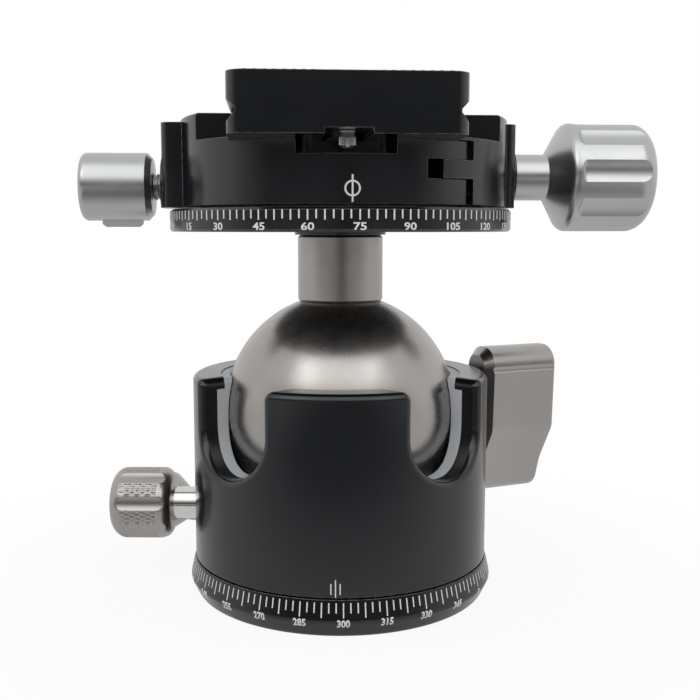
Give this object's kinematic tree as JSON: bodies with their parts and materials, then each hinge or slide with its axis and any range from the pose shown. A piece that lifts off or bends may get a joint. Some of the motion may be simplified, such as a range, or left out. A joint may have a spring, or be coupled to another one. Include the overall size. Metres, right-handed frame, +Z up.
{
  "type": "tripod ball head",
  "caption": "Tripod ball head with drop-notched housing, degree-scaled base and top pans, wing and thumb locks, dovetail clamp and sliding quick-release plate.",
  "frame": {"origin": "on the pan axis at the base's underside, in the mouth of the tripod thread", "axes": "+Z up along the pan axis and the ball's stem; X along the clamp screw, from the clamp's small pan lock towards its fluted knob; the plate's length and its dovetail run along Y, with the clamp's index mark on the -Y side"},
  "size_m": [0.1058, 0.07, 0.0973],
  "materials": {
    "black_anodised": "satin black anodised aluminium",
    "titanium_anodised": "bead-blasted warm grey anodised aluminium",
    "silver_anodised": "satin silver anodised aluminium",
    "steel": "turned stainless steel",
    "polished_steel": "polished stainless steel",
    "dark_steel": "black oxide steel",
    "brass": "turned brass",
    "liner_plastic": "light grey bearing plastic",
    "slip_plastic": "low-friction plastic",
    "pad_rubber": "ribbed black rubber"
  },
  "bodies": {
    "base": {"base_plate": "black_anodised", "tripod_bush": "brass", "pan_washer": "slip_plastic", "retainer_ring": "steel", "retainer_screws": "dark_steel"},
    "housing": {"housing": "black_anodised", "floor_plate": "black_anodised", "floor_screws": "dark_steel", "ball_liner": "liner_plastic", "lower_seat": "liner_plastic", "seat_spring": "steel", "lock_bush": "brass"},
    "lock_shoe": {"lock_shoe": "liner_plastic"},
    "lock_knob": {"lock_screw": "steel", "lock_knob": "titanium_anodised"},
    "pan_lock_shoe": {"pan_lock_shoe": "brass"},
    "pan_lock_knob": {"pan_lock_screw": "steel", "pan_lock_knob": "titanium_anodised"},
    "friction_plunger": {"friction_plunger": "steel"},
    "friction_knob": {"friction_screw": "polished_steel", "friction_knob": "titanium_anodised"},
    "stem": {"neck_bolt": "dark_steel"},
    "ball": {"ball": "titanium_anodised", "neck": "titanium_anodised", "neck_pins": "steel", "pan_disc": "black_anodised", "top_washer": "slip_plastic", "clamp_retainer": "steel", "clamp_retainer_screws": "dark_steel"},
    "clamp": {"clamp_body": "black_anodised", "jaw_springs": "steel"},
    "clamp_lock_shoe": {"clamp_lock_shoe": "brass"},
    "clamp_lock_knob": {"clamp_lock_screw": "steel", "clamp_lock_knob": "silver_anodised"},
    "jaw": {"movable_jaw": "black_anodised", "guide_pins": "steel", "knob_washer": "steel"},
    "clamp_knob": {"clamp_screw": "steel", "clamp_knob": "silver_anodised"},
    "plate": {"quick_release_plate": "black_anodised", "plate_pads": "pad_rubber", "stop_screws": "polished_steel"},
    "camera_washer": {"camera_washer": "steel"},
    "camera_screw": {"camera_screw": "steel"}
  },
  "joints": [
    {"name": "base_pan", "type": "hinge", "parent": "base", "child": "housing", "pos_m": [0, 0, 0.007], "axis": [0, 0, 1], "continuous": true},
    {"name": "pan_lock_press", "type": "slide", "parent": "housing", "child": "pan_lock_shoe", "axis": [0.8755, -0.4833, 0], "range_m": [-0.0002, 0.0002]},
    {"name": "pan_lock_turn", "type": "hinge", "parent": "pan_lock_shoe", "child": "pan_lock_knob", "pos_m": [0, 0, 0.011], "axis": [0.8755, -0.4833, 0], "range_deg": [-90, 90]},
    {"name": "lock_press", "type": "slide", "parent": "housing", "child": "lock_shoe", "axis": [-0.9391, -0.3437, 0], "range_m": [-0.0003125, 0.0003125]},
    {"name": "lock_turn", "type": "hinge", "parent": "lock_shoe", "child": "lock_knob", "pos_m": [0, 0, 0.0297], "axis": [-0.9391, -0.3437, 0], "range_deg": [-90, 90]},
    {"name": "friction_press", "type": "slide", "parent": "housing", "child": "friction_plunger", "axis": [0.9963, -0.0854, 0], "range_m": [-0.0002, 0.0002]},
    {"name": "friction_turn", "type": "hinge", "parent": "friction_plunger", "child": "friction_knob", "pos_m": [0, 0, 0.0155], "axis": [0.9963, -0.0854, 0], "range_deg": [-90, 90]},
    {"name": "ball_tilt", "type": "hinge", "parent": "housing", "child": "stem", "pos_m": [0, 0, 0.0345], "axis": [0.7559, 0.6547, 0], "range_deg": [-50, 90]},
    {"name": "ball_spin", "type": "hinge", "parent": "stem", "child": "ball", "pos_m": [0, 0, 0.0345], "axis": [0, 0, 1], "continuous": true},
    {"name": "clamp_pan", "type": "hinge", "parent": "ball", "child": "clamp", "pos_m": [0, 0, 0.0722], "axis": [0, 0, 1], "continuous": true},
    {"name": "clamp_lock_press", "type": "slide", "parent": "clamp", "child": "clamp_lock_shoe", "axis": [1, 0, 0], "range_m": [-0.0002, 0.0002]},
    {"name": "clamp_lock_turn", "type": "hinge", "parent": "clamp_lock_shoe", "child": "clamp_lock_knob", "pos_m": [0, 0, 0.0764], "axis": [1, 0, 0], "range_deg": [-90, 90]},
    {"name": "jaw_slide", "type": "slide", "parent": "clamp", "child": "jaw", "axis": [1, 0, 0], "range_m": [0, 0.0035]},
    {"name": "clamp_knob_turn", "type": "hinge", "parent": "jaw", "child": "clamp_knob", "pos_m": [0, 0, 0.07835], "axis": [1, 0, 0], "range_deg": [0, 1260]},
    {"name": "plate_slide", "type": "slide", "parent": "clamp", "child": "plate", "axis": [0, 1, 0], "range_m": [-0.0068, 0.0068]},
    {"name": "screw_slide", "type": "slide", "parent": "plate", "child": "camera_washer", "axis": [0, 1, 0], "range_m": [-0.0095, 0.0095]},
    {"name": "camera_screw_turn", "type": "hinge", "parent": "camera_washer", "child": "camera_screw", "pos_m": [-0.0009, 0, 0.0875], "axis": [0, 0, 1], "continuous": true}
  ],
  "couplings": [
    {"joint": "pan_lock_turn", "follows": "pan_lock_press", "rad_per_m": 7854},
    {"joint": "lock_turn", "follows": "lock_press", "rad_per_m": 5026.5},
    {"joint": "friction_turn", "follows": "friction_press", "rad_per_m": 7854},
    {"joint": "clamp_lock_turn", "follows": "clamp_lock_press", "rad_per_m": 7854},
    {"joint": "clamp_knob_turn", "follows": "jaw_slide", "rad_per_m": 6283.2}
  ]
}
